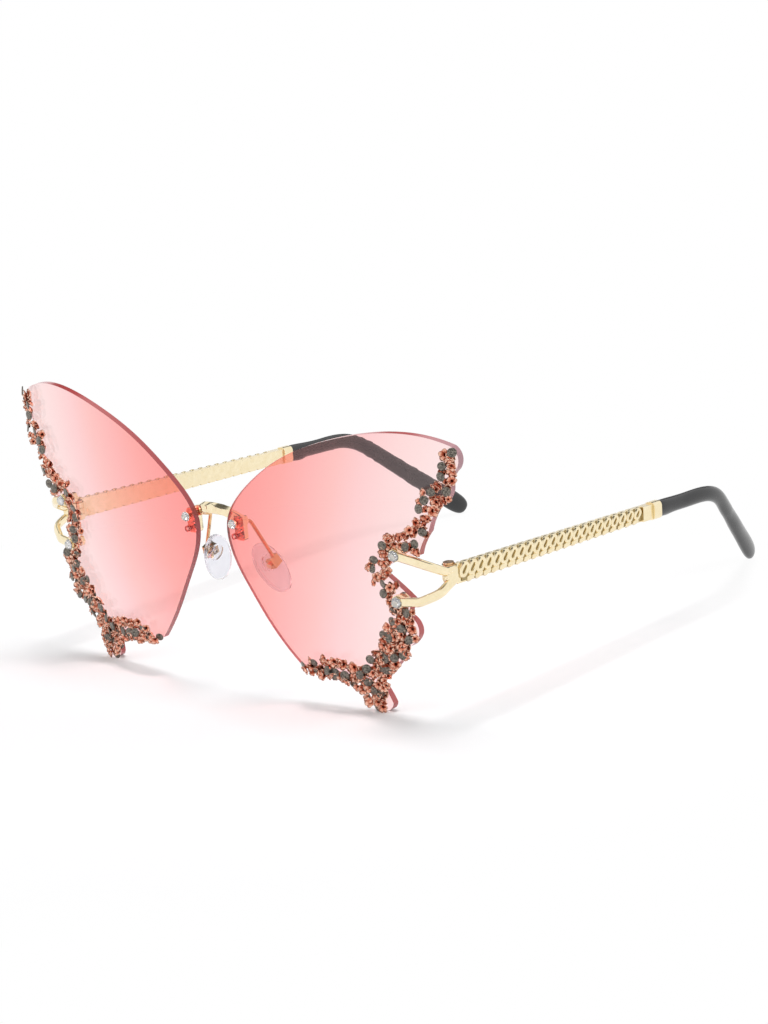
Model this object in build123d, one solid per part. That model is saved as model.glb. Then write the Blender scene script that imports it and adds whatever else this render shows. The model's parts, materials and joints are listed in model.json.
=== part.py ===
from build123d import *
import math
import os

# Butterfly sunglasses, rimless, standing open on a table.
# Millimetres. X runs across the face, -Y is the front, Z is up.
# The wearer's left half has positive X. It is drawn once and mirrored for the right half.

# Front: the two wing lenses
half_span = 76.8
front_height = 73.0
lens_thickness = 2.0
wrap_radius = 180.0
drop_radius = 294.0
bowl_front = -5.7
fit_gap = 0.05

# Bridge and its fixings
bridge_reach = 9.6
bridge_bar_height = 2.8
bridge_rise = 2.6
bridge_bow = 1.6
bridge_bend = 1.2
bridge_plate_width = 3.4
bridge_plate_height = 6.4
bridge_plate_thickness = 1.3
bridge_fixing_spacing = 3.3
bridge_round = 0.3
fixing_radius = 0.6
stone_radius = 1.52
bridge_stone_share = 0.88
stone_height = 0.9
stone_taper = 32.0
stone_sides = 8
screw_head_radius = 1.2
screw_head_height = 0.4
pin_radius = 0.5
pin_head_radius = 0.8
pin_head_height = 0.4
washer_radius = 1.4
washer_thickness = 0.4
nut_radius = 1.3
nut_height = 1.0
nut_sides = 6

# Nose pads
pad_spread = 10.0
pad_setback = 10.8
pad_drop = 12.5
pad_length = 15.0
pad_width = 8.4
pad_thickness = 1.8
pad_round = 0.7
pad_core_radius = 2.2
pad_core_thickness = 0.8
pad_lug_width = 1.1
pad_lug_radius = 0.75
pad_pivot_depth = 2.1
pad_pivot_rise = 1.8
pad_box_length = 2.8
pad_box_width = 2.9
pad_box_wall = 0.5
pad_box_clearance = 0.5
pad_slot_clearance = 0.07
pad_screw_radius = 0.4
pad_screw_head_radius = 0.75
pad_screw_head_height = 0.5
pad_wire_radius = 0.45
pad_wire_bend = 1.2
pad_wire_inset = 2.0
pad_wire_out = 3.7
pad_wire_drop = 1.6
pad_knee_inset = 1.2
running_gap = 0.05

# End pieces and hinges
prong_height = 2.4
prong_depth = 1.7
prong_round = 0.8
prong_bend = 3.6
prong_stand = 1.05
eyelet_radius = 1.64
eyelet_thickness = 1.25
hinge_inset = 10.6
hinge_setback = 8.4
hinge_leaf_radius = 1.7
hinge_barrel = 4.6
hinge_middle_leaf = 1.6
hinge_gap = 0.08
hinge_neck = 1.9
hinge_screw_radius = 0.6
hinge_screw_head_radius = 1.4
hinge_screw_head_height = 0.45
knuckle_length = 3.6
knuckle_width = 2.5
knuckle_nose = 1.9
knuckle_round = 0.9

# Temples with their chain relief
temple_outset = 1.8
temple_length = 77.4
temple_height = 5.2
temple_end_height = 3.9
temple_plate = 1.3
temple_relief = 0.9
chain_strip = 0.25
temple_drop_angle = 3.9
temple_inward_angle = 1.4
link_pitch = 3.2
link_start = 0.3
link_taper = 24.0
link_slant_angle = 45.0
link_length = 4.2
link_width = 3.0
link_hole_length = 1.9
link_hole_width = 0.7
leaf_slant_angle = 20.0
leaf_length = 2.9
leaf_width = 1.5
notch_length = 1.4
notch_width = 0.5
notch_slant_angle = 30.0
notch_shift = 0.15
boss_length = 4.0
collar_length = 3.1
collar_height = 4.7
collar_width = 3.3
collar_round = 1.2

# Temple tips on their core wires
tip_height = 4.2
tip_width = 3.1
tip_straight = 25.0
tip_bend = 18.0
tip_back = 135.6
tip_inward = 13.9
tip_end_height = 1.09
core_width = 1.0
core_height = 1.7
core_seat = 3.0
core_share = 0.7

# Trim glued along the wing margin
band_width = 7.4
disc_radius = 1.2
disc_height = 1.8
flower_radius = 1.08
flower_height = 1.5
flower_petals = 5
petal_notch_share = 0.62
trim_gap = 0.08
trim_lift = 0.08
trim_step = 0.3

# Places on the lens front, as shares of half_span across and front_height up
bowl_share = (0.204, 0.655)
bridge_seat_share = (0.109, 0.601)
upper_eyelet_share = (0.768, 0.584)
lower_eyelet_share = (0.759, 0.419)
hinge_rise_share = 0.4918

# Upper edge of the wing: from its tip over the brow and down past the nose to the inner corner
brow_shares = [
    (0.979, 0.962), (0.841, 0.9985), (0.680, 0.993), (0.520, 0.956), (0.349, 0.886), (0.204, 0.785),
    (0.134, 0.719), (0.078, 0.626), (0.094, 0.496), (0.148, 0.392), (0.215, 0.278), (0.323, 0.136),
]

# Lower and outer edge of the wing: one arc a row, through the first point to the second
margin_shares = [
    ((0.430, 0.112), (0.553, 0.104)),
    ((0.581, 0.078), (0.594, 0.036)),
    ((0.630, 0.000), (0.668, 0.032)),
    ((0.655, 0.074), (0.629, 0.122)),
    ((0.682, 0.150), (0.727, 0.197)),
    ((0.743, 0.219), (0.740, 0.242)),
    ((0.778, 0.258), (0.808, 0.295)),
    ((0.811, 0.328), (0.788, 0.364)),
    ((0.792, 0.393), (0.806, 0.426)),
    ((0.757, 0.477), (0.703, 0.524)),
    ((0.768, 0.560), (0.846, 0.584)),
    ((0.861, 0.626), (0.887, 0.668)),
    ((0.902, 0.712), (0.928, 0.757)),
    ((0.960, 0.787), (0.970, 0.828)),
    ((0.972, 0.853), (0.990, 0.882)),
    ((1.000, 0.922), (0.979, 0.962)),
]

# Middle of the trim band: across, up, and its width as a share of band_width
band_shares = [
    (0.979, 0.952, 0.55), (0.966, 0.880, 0.62), (0.955, 0.831, 0.62), (0.932, 0.800, 0.76),
    (0.880, 0.733, 0.66), (0.870, 0.690, 0.50), (0.855, 0.655, 0.58), (0.814, 0.634, 0.62),
    (0.759, 0.622, 0.62), (0.727, 0.590, 0.62), (0.706, 0.540, 0.68), (0.709, 0.504, 0.68),
    (0.730, 0.463, 0.68), (0.742, 0.425, 0.68), (0.764, 0.384, 0.80), (0.764, 0.355, 0.95),
    (0.757, 0.311, 1.00), (0.735, 0.262, 1.00), (0.697, 0.218, 1.00), (0.642, 0.171, 0.95),
    (0.624, 0.121, 0.76), (0.634, 0.077, 0.74), (0.634, 0.036, 0.62),
]
branch_shares = [
    (0.585, 0.140, 0.62), (0.525, 0.144, 0.60), (0.470, 0.152, 0.60), (0.413, 0.153, 0.58),
    (0.354, 0.155, 0.50),
]

# Corners of each prong from the hinge: shares of hinge_inset out, hinge_setback forward and the fork's spread up
prong_shares = {
    "upper": [(-0.21, None, 0.456), (0.17, 0.84, 0.275), (0.21, 0.42, 0.120), (0.17, 0.0, 0.090)],
    "lower": [(-0.17, None, -0.430), (0.255, 0.82, -0.265), (0.25, 0.42, -0.145), (0.17, 0.0, -0.100)],
}

# Direction of a pad's long axis, upwards, and of the face that meets the nose
pad_up_share = (-0.256, -0.423, 0.872)
pad_face_share = (-0.962, 0.017, -0.273)

# Half of the bridge bar: shares of bridge_reach across, bridge_rise up and bridge_bow forward
bar_shares = [(1.0, 0.0, 0.0), (0.62, 0.42, 0.0), (0.42, 0.94, 0.92), (0.17, 1.0, 1.0)]

# Rows of the chain: how far the links sit above the bar's middle and the leaves below it, as shares of its
# height, and how far along a leaf sits from its link, as a share of link_pitch
link_rise_share = 0.14
leaf_drop_share = 0.31
leaf_shift_share = 0.8

# Section of a tip along its length: place, height and width, as shares of the length, tip_height and tip_width
tip_shares = [
    (0.0, 1.00, 1.00), (0.1, 0.99, 1.00), (0.2, 0.98, 1.00), (0.28, 0.98, 1.00), (0.34, 0.98, 1.01),
    (0.40, 0.99, 1.02), (0.47, 1.01, 1.03), (0.55, 1.04, 1.05), (0.65, 1.10, 1.07), (0.75, 1.18, 1.08),
    (0.85, 1.28, 1.08), (0.92, 1.33, 1.07), (0.965, 1.22, 0.98), (0.99, 0.92, 0.76), (1.0, 0.55, 0.45),
]


# The lens front: an arc of wrap_radius turned about a level axis
def bowl_depth(x):
    return wrap_radius - math.sqrt(wrap_radius ** 2 - (x - bowl_share[0] * half_span) ** 2)


def front_y(x, z):
    reach = drop_radius - bowl_depth(x)
    return bowl_front + drop_radius - math.sqrt(reach ** 2 - (z - bowl_share[1] * front_height) ** 2)


# A plane on the lens front that faces out of the lens, with its Y axis up
def seat_at(x, z):
    across = x - bowl_share[0] * half_span
    rise = z - bowl_share[1] * front_height
    reach = drop_radius - bowl_depth(x)
    root = math.sqrt(reach ** 2 - rise ** 2)
    slope_x = reach / root * across / math.sqrt(wrap_radius ** 2 - across ** 2)
    slope_z = rise / root
    return Plane(origin=(x, front_y(x, z), z), x_dir=(1, slope_x, 0), z_dir=(slope_x, -1, slope_z))


def seat(share):
    return seat_at(share[0] * half_span, share[1] * front_height)


# Small solids that stand on Z, from one height to another
def rod(radius, low, high):
    return Pos(0, 0, low) * Cylinder(radius, high - low, align=(Align.CENTER, Align.CENTER, Align.MIN))


def prism(radius, sides, low, high, taper=0.0):
    return Pos(0, 0, low) * extrude(RegularPolygon(radius, sides), amount=high - low, taper=taper)


def block(width, height, low, high):
    return Pos(0, 0, low) * Box(width, height, high - low, align=(Align.CENTER, Align.CENTER, Align.MIN))


def group(solids):
    return Compound(children=list(solids))


# Heights along a fixing's axis, measured from the lens front
lens_back = -lens_thickness
washer_front = lens_back - fit_gap
washer_back = washer_front - washer_thickness
plate_front = washer_back - fit_gap
plate_back = plate_front - bridge_plate_thickness
bridge_nut_front = plate_back - fit_gap
end_nut_front = washer_back - fit_gap
eyelet_front = fit_gap + eyelet_thickness
through = 2 * (lens_thickness + eyelet_thickness + bridge_plate_thickness)

bridge_seat = seat(bridge_seat_share)
eyelets = {"upper": seat(upper_eyelet_share), "lower": seat(lower_eyelet_share)}
screw_spot = Pos(0, bridge_fixing_spacing / 2, 0)
pin_spot = Pos(0, -bridge_fixing_spacing / 2, 0)
screw_hole = rod(fixing_radius + fit_gap, -through, through)
pin_hole = rod(pin_radius + fit_gap, -through, through)


# Lens: a blank of even thickness, cut to the wing outline and drilled
def make_lens():
    middle = bowl_share[0] * half_span
    level = bowl_share[1] * front_height
    ring = Pos(middle, bowl_front + wrap_radius) * (Circle(wrap_radius) - Circle(wrap_radius - lens_thickness))
    front_part = Pos(middle, bowl_front) * Rectangle(2 * half_span, wrap_radius)
    axis = Axis((0, bowl_front + drop_radius, level), (1, 0, 0))
    tilt = math.degrees(math.asin(front_height / drop_radius))
    profile = Pos(0, 0, level) * (ring & front_part)
    blank = revolve(profile.rotate(axis, -tilt), axis=axis, revolution_arc=2 * tilt)
    brow = [(x * half_span, z * front_height) for x, z in brow_shares]
    edges = Spline(*brow)
    start = brow[-1]
    for via, end in margin_shares:
        via = (via[0] * half_span, via[1] * front_height)
        end = (end[0] * half_span, end[1] * front_height)
        edges += ThreePointArc(start, via, end)
        start = end
    outline = Plane.XZ * make_face(edges.edges())
    wing = blank & extrude(outline, amount=half_span, both=True)
    wing -= bridge_seat.location * screw_spot * screw_hole
    wing -= bridge_seat.location * pin_spot * pin_hole
    for plane in eyelets.values():
        wing -= plane.location * screw_hole
    return wing.solid()


# Bridge: a bar, raised and bowed in the middle, with a plate behind each lens
def make_bridge():
    level = bridge_seat.origin.Z + (bridge_plate_height - bridge_bar_height) / 2
    behind = bridge_seat.origin.Y - (plate_front + plate_back) / 2
    half = [(x * bridge_reach, behind - out * bridge_bow, level + up * bridge_rise) for x, up, out in bar_shares]
    path = FilletPolyline(*half, *[(-x, y, z) for x, y, z in reversed(half)], radius=bridge_bend)
    section = RectangleRounded(bridge_plate_thickness, bridge_bar_height, bridge_round)
    bar = sweep(Plane(origin=path @ 0, x_dir=(0, 1, 0), z_dir=path % 0) * section, path=path)
    plate = block(bridge_plate_width, bridge_plate_height, plate_back, plate_front)
    plate = fillet(plate.edges().filter_by(Axis.Z), bridge_plate_width / 4)
    left = bridge_seat.location * plate
    casting = bar + left + mirror(left, about=Plane.YZ)
    holes = bridge_seat.location * screw_spot * screw_hole + bridge_seat.location * pin_spot * pin_hole
    casting -= holes
    casting -= mirror(holes, about=Plane.YZ)
    return casting.solid()


def make_stone(low, share=1.0):
    return prism(share * stone_radius, stone_sides, low, low + share * stone_height, stone_taper)


def make_screw(low, head):
    return rod(fixing_radius, low, head) + rod(screw_head_radius, head, head + screw_head_height)


def make_washer(bore):
    return rod(washer_radius, washer_back, washer_front) - rod(bore + fit_gap, -through, through)


def make_nut(front):
    nut = prism(nut_radius, nut_sides, front - nut_height, front)
    return nut - screw_hole


def make_bridge_fixings():
    top, low = bridge_seat.location * screw_spot, bridge_seat.location * pin_spot
    screw = top * make_screw(bridge_nut_front - nut_height, fit_gap)
    stone = top * make_stone(2 * fit_gap + screw_head_height, bridge_stone_share)
    pin = low * (rod(pin_radius, plate_back, fit_gap) + rod(pin_head_radius, fit_gap, fit_gap + pin_head_height))
    washers = [top * make_washer(fixing_radius), low * make_washer(pin_radius)]
    nut = top * make_nut(bridge_nut_front)
    return screw, stone, pin, washers, nut


def make_end_fixings():
    screws, stones, washers, nuts = [], [], [], []
    head = eyelet_front + fit_gap
    for plane in eyelets.values():
        screws.append(plane.location * make_screw(end_nut_front - nut_height, head))
        stones.append(plane.location * make_stone(head + screw_head_height + fit_gap))
        washers.append(plane.location * make_washer(fixing_radius))
        nuts.append(plane.location * make_nut(end_nut_front))
    return screws, stones, washers, nuts


# Nose pad: its plane has X up the pad and Z towards the nose
pad_plane = Plane(
    origin=(pad_spread, bridge_seat.origin.Y + pad_setback, bridge_seat.origin.Z - pad_drop),
    x_dir=pad_up_share,
    z_dir=pad_face_share,
)
pad_back = -pad_thickness / 2
pivot_spot = Pos(pad_pivot_rise, 0, pad_back - pad_pivot_depth + pad_thickness / 2)
pad_pivot = pad_plane.location * pivot_spot
across_pad = Rot(90, 0, 0)


def make_pad():
    pad = extrude(Ellipse(pad_length / 2, pad_width / 2), amount=pad_thickness / 2, both=True)
    pad = fillet(pad.edges(), pad_round)
    pocket = rod(pad_core_radius + fit_gap, pad_back - fit_gap, pad_back + pad_core_thickness + fit_gap)
    return pad_plane.location * (pad - Pos(pad_pivot_rise, 0, 0) * pocket)


def make_pad_core():
    plate = Pos(pad_pivot_rise, 0, 0) * rod(pad_core_radius, pad_back, pad_back + pad_core_thickness)
    depth = pad_pivot_depth + pad_back
    web = Pos(0, 0, depth / 2) * Box(2 * pad_lug_radius, pad_lug_width, depth)
    lug = across_pad * Cylinder(pad_lug_radius, pad_lug_width) + web
    lug -= across_pad * Cylinder(pad_screw_radius + running_gap, pad_width)
    return pad_plane.location * (plate + pivot_spot * lug)


def pad_box_outside(gap=0.0):
    low = -pad_lug_radius - pad_box_wall - running_gap * 2 - gap
    high = pad_pivot_depth + pad_back - pad_box_clearance + gap
    return block(pad_box_length + 2 * gap, pad_box_width + 2 * gap, low, high)


def make_pad_box():
    floor = -pad_lug_radius - 2 * running_gap
    slot = block(2 * pad_box_length, pad_lug_width + 2 * pad_slot_clearance, floor, pad_pivot_depth)
    box = pad_box_outside() - slot
    return pad_pivot * (box - across_pad * Cylinder(pad_screw_radius + fit_gap, pad_width))


def make_pad_screw():
    stem = Cylinder(pad_screw_radius, pad_box_width)
    top = pad_box_width / 2 + fit_gap
    neck = rod(pad_screw_radius, 0, top)
    head = rod(pad_screw_head_radius, top, top + pad_screw_head_height)
    return pad_pivot * across_pad * (stem + neck + head)


def make_pad_arm():
    start = bridge_seat.location * Pos(-pad_wire_inset, pad_wire_inset, plate_front)
    knee = bridge_seat.location * Pos(-pad_knee_inset, pad_wire_inset - pad_wire_drop, plate_back - pad_wire_out)
    end = pad_pivot * Pos(pad_box_length / 4, 0, -pad_lug_radius - 2 * running_gap - pad_box_wall / 2)
    path = FilletPolyline(start.position, knee.position, end.position, radius=pad_wire_bend)
    wire = sweep(Plane(origin=path @ 0, z_dir=path % 0) * Circle(pad_wire_radius), path=path)
    bar = block(4 * bridge_plate_width, bridge_plate_height, plate_back - fit_gap, 0)
    wire -= bridge_seat.location * bar
    return (wire - pad_pivot * pad_box_outside(fit_gap)).solids().sort_by(SortBy.VOLUME)[-1]


# Hinge: its plane stands on the screw's axis, at half the height of the barrel
hinge_x = half_span - hinge_inset
hinge_height = hinge_rise_share * front_height
hinge_y = front_y(hinge_x, hinge_height) + hinge_setback
hinge_spot = Pos(hinge_x, hinge_y, hinge_height)
fork_spread = eyelets["upper"].origin.Z - eyelets["lower"].origin.Z
leaf_room = hinge_middle_leaf / 2 + hinge_gap


def leaf(low, high, side):
    neck = Pos(hinge_neck / 2, side * (hinge_neck / 2 + hinge_gap), (low + high) / 2)
    return rod(hinge_leaf_radius, low, high) + neck * Box(hinge_neck, hinge_neck, high - low)


def leaf_sweep(low, high):
    return rod(hinge_leaf_radius + hinge_gap, low, high)


def prong_path(name):
    points = [(eyelets[name].location * Pos(0, 0, prong_stand)).position]
    for out, forward, rise in prong_shares[name]:
        x = hinge_x + out * hinge_inset
        z = hinge_height + rise * fork_spread
        if forward is None:
            y = (seat_at(x, z).location * Pos(0, 0, prong_stand)).position.Y
        else:
            y = hinge_y - forward * hinge_setback
        points.append(Vector(x, y, z))
    return FilletPolyline(*points, radius=prong_bend)


def make_end_piece():
    fork = None
    for name, plane in eyelets.items():
        path = prong_path(name)
        section = RectangleRounded(prong_depth, prong_height, prong_round)
        across = Vector(0, 0, 1).cross(path % 0)
        prong = sweep(Plane(origin=path @ 0, x_dir=across, z_dir=path % 0) * section, path=path)
        prong += plane.location * rod(eyelet_radius, fit_gap, eyelet_front)
        nest = rod(stone_radius + fit_gap, eyelet_front, eyelet_front + through)
        prong -= plane.location * (nest + screw_hole)
        fork = prong if fork is None else fork + prong
    middle = hinge_x + temple_outset
    sections = []
    for back, width, height in (
        (knuckle_length, knuckle_nose, prong_height),
        (hinge_gap, knuckle_width, hinge_barrel),
    ):
        plane = Plane(origin=(middle, hinge_y - back, hinge_height), x_dir=(1, 0, 0), z_dir=(0, 1, 0))
        sections.append(plane * RectangleRounded(width, height, knuckle_round))
    fork += loft(sections)
    behind = Box(hinge_inset, hinge_setback, 2 * hinge_barrel, align=(Align.CENTER, Align.MIN, Align.CENTER))
    fork -= Pos(middle, hinge_y - hinge_gap, hinge_height) * behind
    for low in (-hinge_barrel / 2, leaf_room):
        fork += hinge_spot * leaf(low, low + hinge_barrel / 2 - leaf_room, -1)
    fork -= hinge_spot * leaf_sweep(-leaf_room, leaf_room)
    fork -= hinge_spot * rod(hinge_screw_radius + fit_gap / 2, -hinge_barrel, hinge_barrel)
    return fork.solid()


def make_hinge_screw():
    top = hinge_barrel / 2 + fit_gap
    stem = rod(hinge_screw_radius, -hinge_barrel / 2, top)
    return hinge_spot * (stem + rod(hinge_screw_head_radius, top, top + hinge_screw_head_height))


# Temple: its plane has X along the bar, Y up and Z outwards
drop = math.radians(temple_drop_angle)
inward = math.radians(temple_inward_angle)
along_temple = Vector(-math.sin(inward), math.cos(inward) * math.cos(drop), -math.sin(drop))
temple_plane = Plane(
    origin=(hinge_x + temple_outset, hinge_y + hinge_gap, hinge_height),
    x_dir=along_temple,
    z_dir=Vector(1, 0, 0) - along_temple * along_temple.X,
)
plate_outside = temple_plate / 2
relief_top = plate_outside + temple_relief
bar_middle = temple_relief / 2
chain_floor = plate_outside + fit_gap


def height_at(along):
    return temple_height + (temple_end_height - temple_height) * along / temple_length


# Middles of the links along the bar
chain_start = link_start + fit_gap
chain_end = temple_length - boss_length - fit_gap
link_room = chain_end - chain_start - link_length
link_count = round(link_room / link_pitch) + 1
link_places = [chain_start + link_length / 2 + link_room * i / (link_count - 1) for i in range(link_count)]


# Side view of the bar, notched above and below every link
def side_outline(start, end):
    corners = [
        (start, -height_at(start) / 2), (end, -height_at(end) / 2),
        (end, height_at(end) / 2), (start, height_at(start) / 2),
    ]
    outline = make_face(Polyline(*corners, close=True).edges())
    notch = Rot(0, 0, notch_slant_angle) * SlotOverall(notch_length, notch_width)
    notches = []
    for along in link_places[:-1]:
        notches.append(Pos(along + notch_shift, height_at(along) / 2) * notch)
        notches.append(Pos(along + notch_shift + link_pitch / 2, -height_at(along) / 2) * notch)
    return outline - notches


def make_temple():
    bar = extrude(side_outline(0, temple_length), amount=plate_outside, both=True)
    boss = Box(boss_length, temple_end_height, temple_plate + temple_relief)
    bar += Pos(temple_length - boss_length / 2, 0, bar_middle) * boss
    bar -= Pos(temple_length, 0, bar_middle) * Box(
        2 * core_seat, core_height + 2 * fit_gap, core_width + 2 * fit_gap)
    temple = temple_plane.location * bar
    temple += hinge_spot * leaf(-hinge_middle_leaf / 2, hinge_middle_leaf / 2, 1)
    temple -= hinge_spot * leaf_sweep(leaf_room - hinge_gap, hinge_barrel)
    temple -= hinge_spot * leaf_sweep(-hinge_barrel, -leaf_room + hinge_gap)
    temple -= hinge_spot * rod(hinge_screw_radius + running_gap, -hinge_barrel, hinge_barrel)
    return temple.solid()


# One link of the chain: a rounded slab with tapered sides that leans over
def make_link(length, width, slant):
    return Rot(0, 0, slant) * extrude(SlotOverall(length, width), amount=relief_top - chain_floor, taper=link_taper)


# Chain relief: open links above a row of small leaves, on a thin strip that covers the bar's outside
def make_chain():
    chain = extrude(side_outline(chain_start, chain_end), amount=chain_strip)
    hole = extrude(SlotOverall(link_hole_length, link_hole_width), amount=temple_relief)
    for along in link_places:
        height = height_at(along)
        tall = height / temple_height
        link = make_link(link_length * tall, link_width * tall, link_slant_angle)
        link -= Rot(0, 0, link_slant_angle) * Pos(0, 0, chain_strip) * hole
        chain += Pos(along, link_rise_share * height, 0) * link
        if along < link_places[-1]:
            leaf = make_link(leaf_length * tall, leaf_width * tall, leaf_slant_angle)
            chain += Pos(along + link_pitch * leaf_shift_share, -leaf_drop_share * height, 0) * leaf
    return (temple_plane.location * Pos(0, 0, chain_floor) * chain).solid()


# Where the collar and the tip start along the temple
collar_start = temple_length + fit_gap
tip_start = collar_start + collar_length + fit_gap


def on_bar(along):
    return (temple_plane.location * Pos(along, 0, bar_middle)).position


tip_knee = on_bar(tip_start + tip_straight)
tip_end = Vector(hinge_x - tip_inward, hinge_y + tip_back, tip_end_height)


def cross_plane(path, share):
    along = path % share
    return Plane(origin=path @ share, x_dir=along.cross(Vector(0, 0, 1)), z_dir=along)


def core_path(start, gap=0.0):
    end = tip_knee + (tip_end - tip_knee) * (core_share + gap / tip_back)
    return FilletPolyline(on_bar(start), tip_knee, end, radius=tip_bend)


def make_collar():
    ring = Rectangle(collar_width, collar_height)
    ring = fillet(ring.vertices(), collar_round) - Rectangle(core_width + 2 * fit_gap, core_height + 2 * fit_gap)
    path = core_path(collar_start)
    return extrude(cross_plane(path, 0) * ring, amount=collar_length)


def make_core():
    path = core_path(temple_length - core_seat + fit_gap)
    return sweep(cross_plane(path, 0) * Rectangle(core_width, core_height), path=path)


def make_tip():
    path = FilletPolyline(on_bar(tip_start), tip_knee, tip_end, radius=tip_bend)
    sections = []
    for share, height, width in tip_shares:
        sections.append(cross_plane(path, share) * Ellipse(width * tip_width / 2, height * tip_height / 2))
    bore_path = core_path(tip_start - collar_length, tip_height)
    bore = Rectangle(core_width + 2 * fit_gap, core_height + 2 * fit_gap)
    tip = loft(sections) - sweep(cross_plane(bore_path, 0) * bore, path=bore_path)
    return tip.solid()


# Trim: discs and flowers packed along the band without touching one another
def flower_outline():
    corners = []
    for number in range(2 * flower_petals):
        reach = flower_radius if number % 2 == 0 else flower_radius * petal_notch_share
        turn = math.pi * number / flower_petals
        corners.append((reach * math.cos(turn), reach * math.sin(turn)))
    return make_face(Polyline(*corners, close=True).edges())


def scatter(rows, taken):
    points = [Vector(x * half_span, z * front_height) for x, z, width in rows]
    line = Spline(*points)
    places = [line.param_at_point(point) for point in points]
    found = []
    for number in range(int(line.length / trim_step) + 1):
        place = number * trim_step / line.length
        here, heading = line @ place, line % place
        side = Vector(-heading.Y, heading.X)
        later = next((i for i, p in enumerate(places) if p > place), len(places) - 1)
        before = max(later - 1, 0)
        part = (place - places[before]) / max(places[later] - places[before], 1 / line.length)
        share = rows[before][2] + (rows[later][2] - rows[before][2]) * part
        for lane in (1, -1, 0, 0.5, -0.5):
            is_disc = (len(found) * 3) % 7 < 3
            radius = disc_radius if is_disc else flower_radius
            spot = here + side * lane * (share * band_width / 2 - radius)
            if all((spot - other).length > radius + size + trim_gap for other, size in taken):
                taken.append((spot, radius))
                found.append((spot, is_disc, number))
    return found


def make_trim():
    taken = []
    for name, plane in eyelets.items():
        taken.append((Vector(plane.origin.X, plane.origin.Z), eyelet_radius))
        path = prong_path(name)
        for number in range(10):
            spot = path @ (number / 12)
            taken.append((Vector(spot.X, spot.Z), prong_height / 2))
    disc = prism(disc_radius, stone_sides, trim_lift, trim_lift + disc_height)
    flower = Pos(0, 0, trim_lift) * extrude(flower_outline(), amount=flower_height)
    discs, flowers = [], []
    for spot, is_disc, turn in scatter(band_shares, taken) + scatter(branch_shares, taken):
        place = seat_at(spot.X, spot.Y).location * Rot(0, 0, turn * 360 / flower_petals ** 2)
        if is_disc:
            discs.append(place * disc)
        else:
            flowers.append(place * flower)
    return discs, flowers


# Pieces of the left half, by node name without its side
discs, flowers = make_trim()
end_screws, end_stones, end_washers, end_nuts = make_end_fixings()
bridge_screw, bridge_stone, bridge_pin, bridge_washers, bridge_nut = make_bridge_fixings()
sided = {
    "lens": make_lens(),
    "pad_arm": make_pad_arm(),
    "pad_box": make_pad_box(),
    "nose_pad": make_pad(),
    "pad_core": make_pad_core(),
    "end_piece": make_end_piece(),
    "hinge_screw": make_hinge_screw(),
    "temple": make_temple(),
    "temple_chain": make_chain(),
    "temple_collar": make_collar(),
    "temple_core": make_core(),
    "temple_tip": make_tip(),
    "trim_discs": group(discs),
    "trim_flowers": group(flowers),
}

# Like fixings of both halves share a node
shared = {
    "bridge_screws": [bridge_screw],
    "bridge_stones": [bridge_stone],
    "bridge_pins": [bridge_pin],
    "bridge_washers": bridge_washers,
    "bridge_nuts": [bridge_nut],
    "pad_screws": [make_pad_screw()],
    "end_screws": end_screws,
    "end_stones": end_stones,
    "end_washers": end_washers,
    "end_nuts": end_nuts,
}

nodes = {"bridge": make_bridge()}
for name, shape in sided.items():
    nodes[name + "_left"] = shape
    nodes[name + "_right"] = mirror(shape, about=Plane.YZ)
for name, solids in shared.items():
    nodes[name] = group(solids + [mirror(solid, about=Plane.YZ) for solid in solids])

# The origin is on the table, under the middle of the whole pair
boxes = [shape.bounding_box() for shape in nodes.values()]
front = min(box.min.Y for box in boxes)
rear = max(box.max.Y for box in boxes)
floor = min(box.min.Z for box in boxes)
to_origin = Pos(0, -(front + rear) / 2, -floor)

os.makedirs("parts", exist_ok=True)
for name, shape in nodes.items():
    export_step(to_origin * shape, "parts/" + name + ".step")
print("shift", to_origin.position, "nodes", len(nodes), "discs", len(discs), "flowers", len(flowers))
print("hinge", (to_origin * hinge_spot).position, "pad pivot", (to_origin * pad_pivot).position)
pad_face = Pos(0, 0, pad_thickness / 2)
print("pad face", (to_origin * pad_plane.location * pad_face).position)
print("ear rest", (to_origin * Pos(tip_knee)).position)
print("pad across", (to_origin * pad_pivot * across_pad).z_axis)
for name in ("lens_left", "temple_tip_left", "trim_discs_left", "trim_flowers_left", "nose_pad_left", "bridge"):
    box = (to_origin * nodes[name]).bounding_box()
    print(name, box.min, box.max)
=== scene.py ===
import json
import math
import random

import bmesh
import bpy
from mathutils import Matrix, Vector


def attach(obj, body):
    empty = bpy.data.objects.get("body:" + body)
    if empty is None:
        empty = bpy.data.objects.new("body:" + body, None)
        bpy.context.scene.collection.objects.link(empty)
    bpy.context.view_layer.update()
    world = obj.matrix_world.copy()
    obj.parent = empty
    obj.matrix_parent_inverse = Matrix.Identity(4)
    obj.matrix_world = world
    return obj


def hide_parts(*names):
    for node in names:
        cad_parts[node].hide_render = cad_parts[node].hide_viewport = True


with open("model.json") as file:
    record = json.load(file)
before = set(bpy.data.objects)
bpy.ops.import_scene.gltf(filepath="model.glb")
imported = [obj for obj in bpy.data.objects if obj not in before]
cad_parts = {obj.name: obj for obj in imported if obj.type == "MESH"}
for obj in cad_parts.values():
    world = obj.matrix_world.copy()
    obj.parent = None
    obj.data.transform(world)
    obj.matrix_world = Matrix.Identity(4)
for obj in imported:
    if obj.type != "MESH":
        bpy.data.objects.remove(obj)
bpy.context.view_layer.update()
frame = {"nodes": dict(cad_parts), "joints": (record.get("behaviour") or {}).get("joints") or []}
nodes = frame["nodes"]
scene = bpy.context.scene
mm = 0.001
sides = ("left", "right")  # the wearer's sides; left is +X
print("frame loaded:", len(nodes), "nodes")

# Part and camera share one home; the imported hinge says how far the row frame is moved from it
home = {"hinge": Vector((66.2, 10.1864, 35.9)) * mm}
rowShift = Vector(frame["joints"][0]["pos_m"]) - home["hinge"]


# Small helpers for node trees and pieces


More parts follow.
